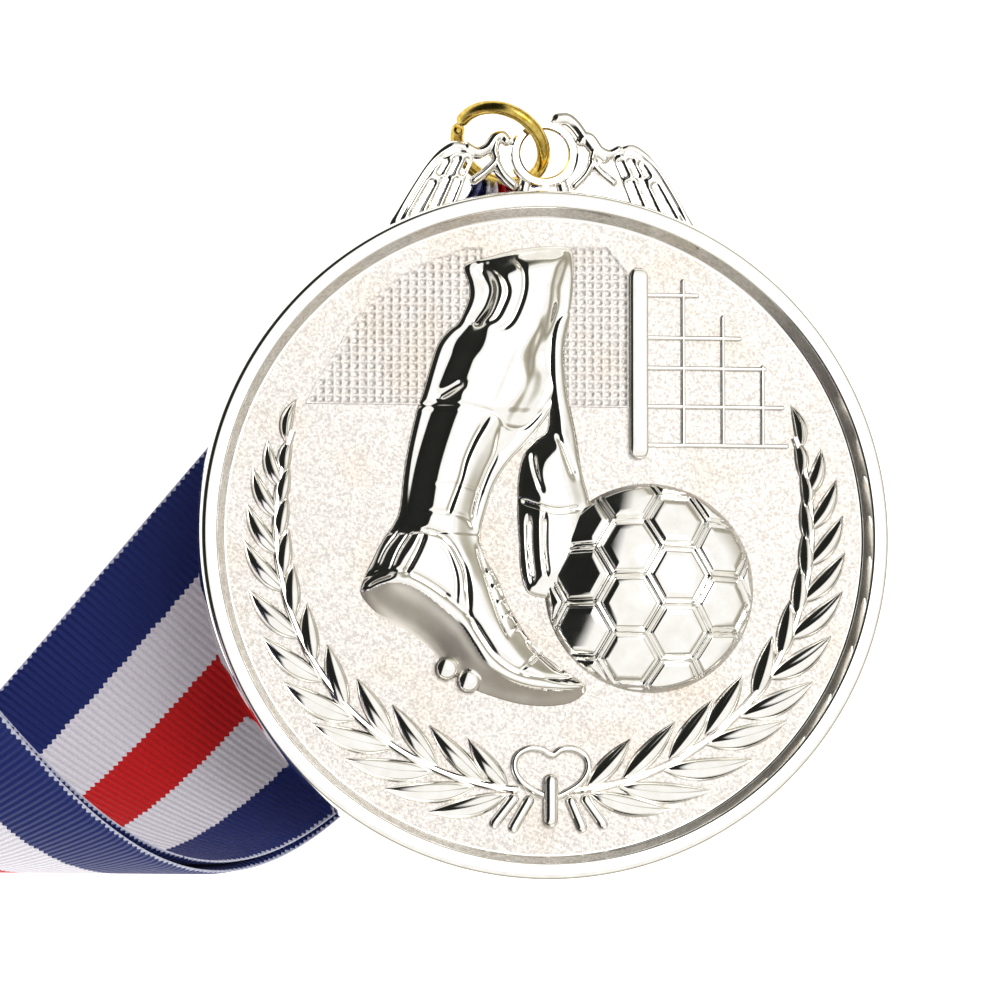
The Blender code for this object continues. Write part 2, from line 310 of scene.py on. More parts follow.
rim = turned("polished_rim", rim_profile, NICKEL)
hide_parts("medal_casting")
for piece in (field, rim):
    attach(piece, "medal")

# ---------------------------------------------------------------- relief tools and the front leg
# The relief is cast with the disc and buffed to a mirror. The front leg stands highest: a
# bare knee with folds, a sock with a turned cuff, and a studded boot that swings at the ball.

def smooth_line(points, closed=False, steps=8):
    """A Catmull-Rom curve through points: each span is the cubic whose slopes are half the chord."""
    p = np.array(points, float)
    if closed:
        p = np.concatenate([p[-1:], p, p[:2]])
    else:
        p = np.concatenate([2 * p[:1] - p[1:2], p, 2 * p[-1:] - p[-2:-1]])
    t = np.linspace(0, 1, steps, endpoint=False)[:, None]
    spans = [
        0.5 * (2 * b + (c - a) * t + (2 * a - 5 * b + 4 * c - d) * t**2 + (3 * b - a - 3 * c + d) * t**3)
        for a, b, c, d in zip(p, p[1:], p[2:], p[3:])
    ]
    out = np.concatenate(spans)
    return out if closed else np.concatenate([out, p[-2:-1]])


def line_distance(x, y, line):
    """The distance of each point to a polyline, and how far along it, from 0 to 1, it is nearest."""
    best, along = np.full(x.shape, 1e9), np.zeros(x.shape)
    count = len(line) - 1
    for k, ((x0, y0), (x1, y1)) in enumerate(zip(line, line[1:])):
        dx, dy = x1 - x0, y1 - y0
        t = np.clip(((x - x0) * dx + (y - y0) * dy) / max(dx * dx + dy * dy, 1e-12), 0, 1)
        away = np.hypot(x - x0 - t * dx, y - y0 - t * dy)
        nearer = away < best
        best, along = np.where(nearer, away, best), np.where(nearer, (k + t) / count, along)
    return best, along


def inside_distance(x, y, outline):
    """The distance to a closed outline, positive inside it."""
    ring = np.concatenate([outline, outline[:1]])
    away, _ = line_distance(x, y, ring)
    inside = np.zeros(x.shape, bool)
    for (x0, y0), (x1, y1) in zip(ring, ring[1:]):
        if y0 != y1:
            inside ^= ((y0 > y) != (y1 > y)) & (x < (x1 - x0) * (y - y0) / (y1 - y0) + x0)
    return np.where(inside, away, -away)


def blurred(height, reach):
    """The height field softened by a Gaussian of that reach, in cells, by a product of spectra."""
    nx, ny = height.shape
    pad = int(4 * reach) + 2
    wide = np.pad(height, pad, mode="edge")
    fx = np.fft.fftfreq(wide.shape[0])[:, None]
    fy = np.fft.rfftfreq(wide.shape[1])[None, :]
    soft = np.exp(-2 * (np.pi * reach) ** 2 * (fx**2 + fy**2))
    return np.fft.irfft2(np.fft.rfft2(wide) * soft, s=wide.shape)[pad:pad + nx, pad:pad + ny]


def shoulder(away, slope_width, top, terrace=0.0, lip=0.35):
    """A cast edge: a steep lip, a flat terrace, then an even slope to the top, its corners eased."""
    lift = np.clip(away / lip, 0, 1)
    lift = np.sqrt(np.clip(2 * lift - lift**2, 0, 1)) * 0.3 * top
    ramp_up = np.clip((away - 0.4 * lip - terrace) / slope_width, 0, 1)
    return lift + 0.7 * top * (ramp_up * ramp_up * (3 - 2 * ramp_up) * 0.35 + ramp_up * 0.65)


def groove(x, y, points, width, ends=0.12):
    """1 on a curve through points, falling away as a Gaussian of that width and towards both ends."""
    away, along = line_distance(x, y, smooth_line(points))
    fade = np.clip(np.minimum(along, 1 - along) / ends, 0, 1)
    return np.exp(-((away / width) ** 2)) * (0.25 + 0.75 * fade)


def cast_grid(name, low, high, height_of, cell, base=FIELD_Z, under=0.4, satin_of=None):
    """A closed casting over a rectangle in mm, from its height field over the base.

    height_of takes x and y in mm and gives the height in mm and the distance inside the
    outline. Cells wholly outside are left out, a cell beside two that meet only at a corner
    is kept, the border points move onto the outline, and a flat underside with upright
    walls closes the rest.
    """
    x, y = np.meshgrid(np.arange(low[0], high[0], cell), np.arange(low[1], high[1], cell), indexing="ij")
    h, away = height_of(x, y)
    slope_x, slope_y = np.gradient(away, cell)
    steep = np.maximum(np.hypot(slope_x, slope_y), 0.5)
    outside = np.clip(-away, 0, 1.5 * cell)
    px, py = x + outside * slope_x / steep, y + outside * slope_y / steep
    nx, ny = x.shape
    inner = away > 0
    keep = inner[:-1, :-1] | inner[1:, :-1] | inner[1:, 1:] | inner[:-1, 1:]
    rising = keep[:-1, :-1] & keep[1:, 1:] & ~keep[1:, :-1] & ~keep[:-1, 1:]
    falling = keep[1:, :-1] & keep[:-1, 1:] & ~keep[:-1, :-1] & ~keep[1:, 1:]
    keep[1:, :-1] |= rising
    keep[1:, 1:] |= falling
    index = np.arange(nx * ny).reshape(nx, ny)
    quads = np.stack([index[:-1, :-1], index[1:, :-1], index[1:, 1:], index[:-1, 1:]], axis=-1)[keep]
    edges = np.concatenate([quads[:, [k, (k + 1) % 4]] for k in range(4)])
    key = np.sort(edges, axis=1)
    _, first, uses = np.unique(key[:, 0] * nx * ny + key[:, 1], return_index=True, return_counts=True)
    border = edges[first[uses == 1]]
    used = np.unique(quads)
    place = np.full(nx * ny, -1)
    place[used] = np.arange(len(used))
    count = len(used)
    top = np.stack([px.ravel()[used] * MM, py.ravel()[used] * MM, base + h.ravel()[used] * MM], axis=1)
    bottom = top.copy()
    bottom[:, 2] = base - under * MM
    walls = np.stack([border[:, 1], border[:, 0]], axis=1)
    walls = np.concatenate([place[walls], place[walls[:, ::-1]] + count], axis=1)
    faces = np.concatenate([place[quads], place[quads][:, ::-1] + count, walls])
    mesh = bpy.data.meshes.new(name)
    mesh.from_pydata(np.concatenate([top, bottom]).tolist(), [], faces.tolist())
    mesh.shade_smooth()
    mesh.set_sharp_from_angle(angle=math.radians(60.0))
    mesh.materials.append(NICKEL)
    if satin_of:
        mesh.materials.append(SATIN)
        share = satin_of(x, y)[:-1, :-1][keep]
        slots = np.pad(share, (0, len(faces) - len(share))).astype(np.int32)
        mesh.polygons.foreach_set("material_index", slots)
    obj = bpy.data.objects.new(name, mesh)
    bpy.context.collection.objects.link(obj)
    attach(obj, "medal")
    return obj


FRONT_LEG = smooth_line([
    (-5.8, 19.6), (-5.55, 18.3), (-5.5, 17.2), (-6.2, 15.5), (-6.9, 14.9), (-7.7, 13.9), (-8.2, 12.5),
    (-8.8, 10.4), (-9.2, 9.2), (-9.6, 7.6), (-10.0, 5.7), (-10.25, 4.0), (-10.5, 1.8), (-10.95, 0.7),
    (-11.8, -0.6), (-12.5, -2.0), (-13.0, -3.1), (-13.3, -4.1), (-13.0, -4.8), (-12.0, -5.8), (-10.5, -6.7),
    (-9.2, -7.4), (-8.0, -8.5), (-6.8, -10.0), (-5.4, -11.0), (-3.6, -11.7), (-1.6, -12.2), (0.4, -12.3),
    (2.0, -12.0), (3.0, -11.2), (2.7, -10.5), (1.3, -9.6), (-0.3, -8.4), (-1.6, -6.7), (-2.7, -4.8),
    (-3.4, -3.1), (-4.15, -1.9), (-4.5, -0.9), (-4.6, 0.3), (-4.2, 1.9), (-3.6, 3.7), (-2.6, 5.3),
    (-1.4, 6.6), (-0.2, 8.1), (0.75, 9.7), (1.1, 11.4), (0.8, 12.9), (1.2, 14.6), (1.75, 15.9),
    (2.05, 17.5), (2.15, 19.6), (1.9, 20.9), (0.2, 21.05), (-2.1, 20.75), (-3.9, 20.25),
], closed=True, steps=5)

WELT = smooth_line([
    (-13.2, -4.0), (-11.6, -3.4), (-10.1, -3.5), (-8.7, -4.2), (-7.3, -5.3), (-6.05, -6.4), (-5.1, -7.8),
    (-4.15, -9.2), (-2.7, -10.3), (-0.9, -10.9), (0.9, -11.0), (2.8, -10.8),
])
SOLE_SIDE = np.concatenate([WELT, [(4, -14), (-15, -14), (-15, -4)]])
STUDS, STUD_R = ((-7.1, -9.7), (-5.5, -10.6)), 0.85


def front_leg_height(x, y):
    """Sloping sides up to a broad top; folds, seams and laces are grooves and ridges on it."""
    away = inside_distance(x, y, FRONT_LEG)
    slope = np.interp(y, [-12, -6, 0, 4, 9, 12, 16, 20], [1.4, 1.8, 1.8, 1.7, 1.8, 1.6, 1.2, 1.1])
    terrace_y = [-2, 0.5, 5, 9, 10.5, 13, 15, 18, 20]
    terrace = np.interp(y, terrace_y, [0.0, 0.3, 0.6, 0.9, 0.8, 1.1, 0.5, 0.7, 0.2])
    body = blurred(shoulder(away, slope, 1.3, terrace), 2.1)
    welt_away, _ = line_distance(x, y, WELT)
    side = inside_distance(x, y, SOLE_SIDE)
    sole = np.clip(side / 2.6, 0, 1)
    body -= blurred(0.6 * sole * np.clip(away * 3, 0, 1), 3.5)
    body += 0.16 * np.exp(-((welt_away / 0.28) ** 2)) - 0.14 * np.exp(-(((side + 0.65) / 0.2) ** 2))
    for points, width, depth in (
        ([(-4.9, 19.5), (-4.3, 18.8), (-3.9, 17.8), (-4.2, 16.6), (-4.8, 15.7), (-5.3, 15.1)], 0.42, 0.42),
        ([(-4.0, 19.6), (-3.2, 18.7), (-2.8, 17.6), (-3.2, 16.4), (-3.7, 15.6), (-4.5, 15.2)], 0.2, 0.15),
        ([(-2.1, 19.9), (-1.65, 19.15), (-1.6, 17.8), (-2.0, 16.4), (-2.6, 15.3), (-3.5, 14.7)], 0.2, 0.15),
        ([(-5.9, 11.0), (-6.9, 10.4), (-7.8, 9.9)], 0.3, 0.25),
        ([(-4.15, 8.6), (-5.1, 7.0), (-5.8, 5.4), (-6.2, 3.9), (-6.9, 2.0), (-7.1, 1.4)], 0.22, 0.2),
        ([(-3.2, 7.9), (-3.55, 5.9), (-4.2, 4.4), (-4.9, 2.4), (-5.25, 0.6)], 0.22, 0.16),
        ([(0.2, 19.0), (-0.1, 16.6), (-0.4, 14.2), (-1.3, 10.6), (-2.6, 8.2)], 0.3, 0.05),
        ([(-2.2, 13.8), (-3.3, 11.3), (-4.15, 9.2)], 0.3, 0.04),
        ([(1.3, 17.2), (0.75, 15.2), (0.3, 13.2), (0.75, 10.9)], 0.4, 0.12),
        ([(-9.6, 0.35), (-8.0, 0.0), (-7.0, -0.6), (-6.3, -1.7), (-5.8, -3.0), (-5.6, -5.8)], 0.24, 0.26),
        ([(-8.0, -0.5), (-7.25, -1.2), (-6.8, -2.2), (-6.5, -3.4), (-6.5, -5.0)], 0.16, 0.12),
        ([(-8.8, 0.0), (-9.4, -1.45), (-10.3, -3.1)], 0.22, 0.24),
        ([(-9.7, 0.2), (-10.6, -1.2), (-11.2, -2.6)], 0.14, 0.12),
        ([(-10.5, 0.2), (-11.5, -1.1), (-12.1, -2.4)], 0.12, 0.1),
        ([(-13.0, -3.9), (-12.3, -3.4), (-11.2, -3.0)], 0.2, 0.2),
        ([(-9.9, -2.9), (-8.5, -3.6), (-6.9, -4.6)], 0.2, 0.1),
        ([(-5.5, -6.0), (-4.5, -7.6), (-3.5, -8.8), (-2.1, -9.8), (-0.4, -10.3)], 0.26, 0.12),
        ([(-1.9, -9.8), (-0.95, -9.1), (-0.5, -8.5), (-1.2, -7.8)], 0.16, 0.2),
        ([(-0.4, -8.5), (0.7, -9.5), (1.4, -9.9)], 0.18, 0.14),
        ([(-4.9, -0.8), (-4.4, -2.5), (-3.9, -4.1), (-3.3, -5.9), (-2.7, -7.4)], 0.16, 0.16),
        ([(-8.0, 3.5), (-6.3, 3.5), (-4.5, 3.1)], 0.14, 0.06),
        ([(-8.9, 1.6), (-7.4, 1.5), (-5.8, 1.2), (-5.0, 0.4)], 0.18, 0.1),
    ):
        body -= depth * groove(x, y, points, width)
    cuff = [(-9.3, 9.3), (-8.0, 9.45), (-6.3, 9.35), (-4.5, 9.0), (-3.5, 8.6), (-2.8, 7.8)]
    cuff += [(-1.5, 7.8), (-0.3, 8.9), (0.8, 10.4)]
    cuff_away, _ = line_distance(x, y, smooth_line(cuff))
    below = np.clip((9.2 - y) / 0.35, 0, 1) * (y > 0)
    body -= 0.12 * np.exp(-((cuff_away / 0.16) ** 2)) + 0.08 * below
    for lace in range(5):
        lx, ly = -4.0 + 0.46 * lace, -2.6 - 1.05 * lace
        body += 0.2 * groove(x, y, [(lx - 0.35, ly - 0.25), (lx + 0.5, ly + 0.3)], 0.17, 0.3)
    for cx, cy in STUDS:
        stud = np.hypot(x - cx, y - cy) / STUD_R
        body = np.maximum(body, np.where(stud < 1, 0.35 + 0.5 * np.sqrt(np.clip(1 - stud**2, 0, 1)), -1))
        away = np.maximum(away, STUD_R - stud * STUD_R)
    return np.maximum(body, 0.02), away


def sole_mask(x, y):
    """1 on the sole's face, outside the welt, and 0 on its studs."""
    to_stud = np.min([np.hypot(x - cx, y - cy) for cx, cy in STUDS], axis=0)
    return (inside_distance(x, y, SOLE_SIDE) > 0.3) & (to_stud > STUD_R)


cast_grid("front_leg", (-13.9, -12.9), (3.6, 21.6), front_leg_height, 0.085, satin_of=sole_mask)

# ---------------------------------------------------------------- the standing leg and the ball
# The standing leg is lower and plainer than the kicking one. The ball is a steep dome, cast
# with flat-topped six-sided panels between raised double seams.

BALL = (7.6, -3.7)
BALL_R = 7.6
BALL_CURVE = 14.2
PANEL = 4.25
STANDING_LEG = smooth_line([
    (1.9, 16.4), (1.55, 14.2), (1.5, 12.6), (1.7, 10.4), (2.3, 7.5), (2.75, 4.6), (3.3, 2.4),
    (3.4, -0.5), (2.6, -3.0), (1.0, -4.4), (-0.3, -4.45), (-1.3, -4.0), (-1.75, -2.4), (-1.85, -0.4),
    (-1.95, 1.2), (-1.95, 2.6), (-1.9, 4.2), (-1.5, 5.9), (-0.6, 7.0), (0.3, 8.0), (0.2, 12.0), (0.5, 15.5),
], closed=True, steps=5)


def standing_leg_height(x, y):
    """A rounded shin and sock that runs down behind the ball, with a hem and two boot bars."""
    away = inside_distance(x, y, STANDING_LEG)
    body = blurred(shoulder(away, 1.5, 0.95), 1.6)
    for points, width, depth in (
        ([(0.9, 7.4), (1.5, 5.9), (2.2, 4.2)], 0.22, 0.25),
        ([(-1.9, 2.6), (-0.6, 2.1), (0.9, 1.75), (2.6, 2.0)], 0.2, 0.3),
        ([(-1.2, 1.4), (-1.15, -1.0), (-0.9, -3.4)], 0.16, 0.35),
        ([(-0.1, 1.6), (-0.1, -1.0), (0.1, -3.0)], 0.16, 0.3),
        ([(-0.9, 6.0), (-0.7, 4.6), (-0.2, 3.0)], 0.2, 0.2),
    ):
        body -= depth * groove(x, y, points, width)
    return np.maximum(body, 0.02), away


cast_grid("standing_leg", (-2.4, -4.9), (3.9, 17.0), standing_leg_height, 0.085)


def ball_height(x, y):
    """A spherical cap. A point of it belongs to the nearest centre of a six-sided lattice.

    The lattice is laid out on arc length, so that panels near the edge are foreshortened.
    """
    dx, dy = x - BALL[0], y - BALL[1]
    radius = np.hypot(dx, dy)
    away = BALL_R - radius
    cap = np.sqrt(np.clip(BALL_CURVE**2 - radius**2, 0, None)) - math.sqrt(BALL_CURVE**2 - BALL_R**2)
    spread = 1 + 0.1 * (radius / BALL_R) ** 2
    u, v = dx * spread + 1.7, dy * spread + 1.3
    column = PANEL * math.sqrt(3) / 2
    border = np.full(x.shape, -1e9)
    for shift in range(-1, 2):
        i = np.round(u / column) + shift
        j = np.round((v - i * PANEL / 2) / PANEL)
        ou, ov = u - i * column, v - i * PANEL / 2 - j * PANEL
        slant = np.maximum(np.abs(ou * math.sqrt(3) / 2 + ov / 2), np.abs(ou * math.sqrt(3) / 2 - ov / 2))
        border = np.maximum(border, PANEL / 2 - np.maximum(np.abs(ov), slant))
    seam = np.exp(-((border / 0.1) ** 2)) * 0.09 - np.exp(-(((border - 0.24) / 0.13) ** 2)) * 0.13
    pillow = 0.14 * np.clip((border - 0.3) / 0.5, 0, 1) ** 0.5
    lip = 0.25 * np.sqrt(np.clip(away / 0.35, 0, 1))
    return 0.02 + lip + 0.95 * cap + (seam + pillow) * np.clip(away / 0.4, 0, 1), away


cast_grid("ball", (-0.3, -11.6), (15.6, 4.2), ball_height, 0.075)

# ---------------------------------------------------------------- goal post and nets
# Round bars cast half into the field: a thick post, a coarse net of thin bars to its right,
# and behind the legs a fine square mesh that ends in an arc.


def sweep(path, across, height, section, up=(0.0, 0.0, 1.0)):
    """A section carried along a path: across and height scale its two coordinates at each point."""
    path = np.array(path, float)
    tangent = np.gradient(path, axis=0)
    side = np.cross(tangent, np.array(up, float))
    side /= np.linalg.norm(side, axis=1)[:, None]
    lift = np.cross(side, tangent)
    lift /= np.linalg.norm(lift, axis=1)[:, None]
    across, height = np.broadcast_to(across, len(path)), np.broadcast_to(height, len(path))
    return (
        path[:, None]
        + side[:, None] * (across[:, None] * section[:, 0])[:, :, None]
        + lift[:, None] * (height[:, None] * section[:, 1])[:, :, None]
    )


def circle(count):
    """A unit circle of that many points."""
    angle = np.arange(count) * 2 * np.pi / count
    return np.stack([np.cos(angle), np.sin(angle)], axis=1)


def bar(x0, y0, x1, y1, radius, rise, steps=12, squat=1.0, blunt=1.0):
    """A bar with domed ends, its middle at that rise over the field. Sizes are in mm.

    squat scales its height. blunt is the power of its section: 1 is round, and less is boxy.
    """
    span = math.hypot(x1 - x0, y1 - y0)
    dome = np.sin(np.linspace(0.05, np.pi / 2, 6))
    cap = radius * (1 - np.cos(np.linspace(0, np.pi / 2, 6)))
    along = np.concatenate([cap, np.linspace(radius, span - radius, steps)[1:-1], span - cap[::-1]]) / span
    size = np.concatenate([dome, np.ones(steps - 2), dome[::-1]]) * radius
    height = np.full(len(along), FIELD_Z / MM + rise)
    path = np.stack([x0 + along * (x1 - x0), y0 + along * (y1 - y0), height], axis=1)
    section = np.sign(circle(24)) * np.abs(circle(24)) ** blunt
    return sweep(path, size, squat * size, section) * MM


def on_medal(piece):
    """The piece moves with the medal."""
    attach(piece, "medal")
    return piece


on_medal(solid("goal_post", [bar(6.85, 5.6, 6.85, 19.6, 0.7, 0.1, 30, 0.8, 0.45)], NICKEL))
NET_BAR_R, NET_RISE = 0.17, 0.1
uprights = ((10.1, 18.8), (13.0, 16.2), (15.9, 12.6))
crossbars = ((17.6, 11.3), (14.5, 14.4), (12.3, 16.2), (9.5, 17.5), (6.7, 17.8))
net_bars = [bar(x, 6.6, x, top, NET_BAR_R, NET_RISE) for x, top in uprights]
net_bars += [bar(7.0, y, end, y, NET_BAR_R, NET_RISE) for y, end in crossbars]
on_medal(solid("goal_net", net_bars, NICKEL))

LEFT_MESH = np.array([
    (-17.3, 9.4), (-16.5, 11.0), (-15.4, 12.7), (-14.1, 15.0), (-12.5, 17.0), (-10.8, 18.5),
    (-8.9, 19.7), (-5.7, 20.9), (-4.5, 20.9), (-4.5, 9.4),
])
RIGHT_MESH = np.array([(0.8, 9.4), (6.1, 9.4), (6.1, 19.2), (4.6, 21.1), (0.8, 21.1)])


def fine_mesh_height(x, y):
    """Square pits 0.61 mm apart between low bars, with a raised line round the outline."""
    away = np.maximum(inside_distance(x, y, LEFT_MESH), inside_distance(x, y, RIGHT_MESH))
    pitch = 0.61
    from_x = (x + 200 * pitch) % pitch
    from_y = (y - 9.4 + 200 * pitch) % pitch
    pit = np.exp(-((((pitch / 2 - from_x) ** 4 + (pitch / 2 - from_y) ** 4) ** 0.25 / 0.2) ** 4))
    frame_line = np.exp(-((away / 0.14) ** 2))
    return 0.12 - 0.05 * pit * np.clip(away / 0.3, 0, 1) + 0.03 * frame_line, away


mesh_piece = cast_grid("fine_net", (-17.8, 9.2), (6.4, 21.5), fine_mesh_height, 0.078)
mesh_piece.data.materials[0] = BLASTED

# ---------------------------------------------------------------- laurel wreath and its bow
# Two laurel branches, each leaf a lens with a sharp midrib, in two rows beside a thin stem.
# A cord tied at the bottom makes a two-lobed loop, a plain knot and four short tails.

LEAF_SECTION = np.array([
    (-1, 0), (-0.86, 0.45), (-0.62, 0.72), (-0.32, 0.85), (-0.1, 0.92), (0, 1.0), (0.1, 0.92),
    (0.32, 0.85), (0.62, 0.72), (0.86, 0.45), (1, 0), (0.6, -0.5), (0, -0.6), (-0.6, -0.5),
])


def polar(side, degrees, radius):
    """A place in mm from an angle off straight down, on the left (-1) or right (1), and a radius."""
    a = math.radians(degrees)
    return np.array([side * radius * math.sin(a), -radius * math.cos(a)])


def leaf(side, tip_angle, tip_radius, span, stem_radius, width, rise):
    """One leaf from the stem to its tip, bowed a little outwards, 16 sections long."""
    base, tip = polar(side, tip_angle - span, stem_radius), polar(side, tip_angle, tip_radius)
    t = np.linspace(0.0, 1.0, 17)
    chord = tip - base
    bow = np.array([-chord[1], chord[0]]) / np.linalg.norm(chord)
    outward = (base + tip) / np.linalg.norm(base + tip)
    bow *= math.copysign(0.32 if tip_radius > stem_radius else -0.12, float(bow @ outward))
    middle = base + t[:, None] * chord + np.sin(np.pi * t)[:, None] * bow
    size = np.sin(np.pi * np.clip(t, 0.02, 0.985) ** 0.85) ** 0.75
    path = np.column_stack([middle, np.full(len(t), FIELD_Z / MM - 0.06)])
    return sweep(path, 0.5 * width * size, rise * size**0.8 + 0.05, LEAF_SECTION) * MM


for side, name in ((-1, "left"), (1, "right")):
    leaves = []
    outer = [(22.6 + 9.4 * i, 21.7) for i in range(8)] + [(95.5, 21.6), (102.5, 21.6), (108.5, 21.1)]
    inner = [(20.5 + 10.6 * i, r) for i, r in enumerate((15.7, 16.1, 16.5, 17.1, 17.6, 17.9))]
    inner += [(83.0, 18.3), (91.0, 18.5), (98.5, 18.8), (105.0, 19.1), (111.0, 19.5)]
    if side > 0:
        outer = [(24.9, 21.7), (33.4, 21.9), (43.3, 22.0), (53.2, 22.0), (62.0, 22.1), (71.3, 22.0)]
        outer += [(80.0, 22.0), (87.4, 21.9), (94.5, 21.8), (101.5, 21.7), (108.0, 21.2)]
        inner = [(23.0, 15.9), (35.3, 16.4), (46.0, 16.9), (55.2, 17.5), (66.8, 18.0), (76.0, 18.4)]
        inner += [(84.5, 18.7), (92.0, 18.9), (99.0, 19.0), (105.5, 19.3), (112.0, 19.6)]
    for angle, radius in outer:
        span = np.interp(angle, [22, 35, 60, 90, 118], [14, 17, 14.5, 11, 8])
        width = np.interp(angle, [20, 60, 110], [1.6, 1.8, 1.25])
        leaves.append(leaf(side, angle, radius, span, 18.9 + 0.3 * (angle > 60), width, 0.58))
    for angle, radius in inner:
        span = np.interp(angle, [20, 31, 60, 90, 118], [12, 17.5, 15.5, 11, 8])
        width = np.interp(angle, [20, 60, 110], [1.5, 1.65, 1.15])
        leaves.append(leaf(side, angle, radius, span, 18.4 + 0.8 * (angle > 60), width, 0.56))
    leaves.append(leaf(side, 118.3, 20.4, 9.0, 19.8, 1.1, 0.6))
    stem_angles = np.linspace(6.0, 112.0, 90)
    stem = [np.append(polar(side, a, 18.4 + 1.3 * (a / 115.0)), FIELD_Z / MM) for a in stem_angles]
    leaves.append(sweep(np.array(stem), 0.3, 0.38, circle(10)) * MM)
    on_medal(solid("laurel_" + name, leaves, NICKEL))

LOOP = smooth_line([
    (0.55, -15.85), (1.2, -15.45), (2.1, -15.4), (2.95, -15.9), (3.15, -16.8), (2.7, -17.7), (1.8, -18.4),
    (0.55, -18.9), (-0.8, -18.4), (-1.75, -17.7), (-2.2, -16.8), (-2.0, -15.9), (-1.15, -15.4),
    (-0.2, -15.45),
], closed=True, steps=8)
loop_path = np.column_stack([LOOP, np.full(len(LOOP), FIELD_Z / MM + 0.12)])
loop_tangent = np.roll(LOOP, -1, axis=0) - np.roll(LOOP, 1, axis=0)
loop_side = np.column_stack([loop_tangent[:, 1], -loop_tangent[:, 0]])
loop_side /= np.linalg.norm(loop_side, axis=1)[:, None]
ring_section = circle(14)
loop_points = np.repeat(loop_path[:, None], 14, axis=1)
loop_points[:, :, :2] += loop_side[:, None] * (0.27 * ring_section[:, 0])[None, :, None]
loop_points[:, :, 2] += 0.36 * ring_section[:, 1]
on_medal(solid("bow_loop", [loop_points * MM], NICKEL, closed_u=True))
tails = [bar(-2.0, -18.7, -3.85, -21.1, 0.4, 0.05), bar(-0.95, -18.8, -2.45, -21.4, 0.42, 0.08),
         bar(1.75, -18.8, 2.85, -21.4, 0.42, 0.08), bar(2.75, -18.7, 4.45, -21.1, 0.4, 0.05),
         bar(0.42, -17.2, 0.42, -21.1, 0.55, 0.3)]
on_medal(solid("bow_knot_and_tails", tails, NICKEL))

# ---------------------------------------------------------------- hanger
# Two wings, a bird's head and an eye, cast with the disc. The wings are pierced between the
# feathers, short struts tie them to the eye, and the eye's hole takes the split ring.

WING_TOP, WING_LOW = BACK_Z + 1.9 * MM, BACK_Z + 0.6 * MM
LEFT_WING = smooth_line([
    (-11.3, 22.4), (-10.7, 23.6), (-9.4, 25.75), (-8.5, 27.1), (-7.6, 28.1), (-6.6, 28.66), (-5.6, 28.4),
    (-5.1, 27.6), (-5.6, 26.2), (-6.3, 24.2), (-6.7, 23.0), (-8.6, 22.4), (-10.2, 21.9),
], closed=True, steps=4)
SLOTS = [
    ((-8.2, 25.5), (-9.5, 23.2), 0.2), ((-7.2, 25.8), (-8.2, 23.6), 0.2), ((-6.35, 25.7), (-7.1, 23.9), 0.19),
    ((-7.15, 27.1), (-7.6, 26.35), 0.13), ((-6.35, 27.3), (-6.85, 26.3), 0.14),
    ((-5.6, 27.2), (-6.0, 26.35), 0.13),
]
SHOULDER = [(-5.5, 28.2), (-4.8, 27.9), (-4.1, 28.2), (-3.5, 29.0), (-3.0, 29.15), (-2.7, 28.8)]
STRUTS = [
    [(-3.45, 28.9), (-3.6, 28.0), (-3.5, 27.3), (-4.2, 26.5), (-5.1, 25.8)],
    [(-3.5, 27.2), (-3.0, 26.3), (-2.2, 25.5)],
]


def wing_height(x, y):
    """Feathers: a rounded arm along the leading edge and quills between the piercings."""
    away = inside_distance(x, y, LEFT_WING)
    h = 0.25 + 0.35 * np.sqrt(np.clip(away / 0.5, 0, 1))
    h -= 0.3 * groove(x, y, [(-10.6, 22.7), (-9.1, 25.3), (-7.9, 27.0), (-6.6, 27.9), (-5.6, 27.9)], 0.16)
    for (x0, y0), (x1, y1), half in SLOTS:
        gap, _ = line_distance(x, y, [(x0, y0), (x1, y1)])
        away = np.minimum(away, gap - half)
        h -= 0.2 * np.exp(-(((gap - half) / 0.15) ** 2))
    for points, half in [(SHOULDER, 0.42)] + [(strut, 0.33) for strut in STRUTS]:
        gap, _ = line_distance(x, y, smooth_line(points))
        inside = half - gap
        h = np.where(inside > away, 0.2 + 0.4 * np.sqrt(np.clip(inside / half, 0, 1)), h)
        away = np.maximum(away, inside)
    return np.maximum(h, 0.05), away


def right_wing_height(x, y):
    """The left wing's mirror image, with the head and neck of the bird behind the eye."""
    h, away = wing_height(-x * 1.03 + 0.1, y)
    neck_line = smooth_line([(1.0, 30.4), (1.7, 30.45), (2.3, 30.0), (2.9, 29.2), (3.6, 28.3), (4.4, 27.6)])
    neck, along = line_distance(x, y, neck_line)
    inside = 0.55 - 0.1 * along - neck
    beak, _ = line_distance(x, y, np.array([(0.55, 30.05), (0.75, 30.45), (1.4, 30.5)]))
    inside = np.maximum(inside, 0.22 - beak)
    h = np.where(inside > away, 0.15 + 0.5 * np.sqrt(np.clip(inside / 0.5, 0, 1)), h)
    return h, np.maximum(away, inside)


FEATHER = 0.6
for name, low, high, shape in (
    ("left_wing", (-11.8, 21.4), (-1.6, 29.8), wing_height),
    ("right_wing", (0.1, 21.4), (11.6, 31.3), right_wing_height),
):
    plate = (WING_TOP - WING_LOW) / MM - FEATHER
    cast_grid(name, low, high, shape, 0.075, base=WING_TOP - FEATHER * MM, under=plate)

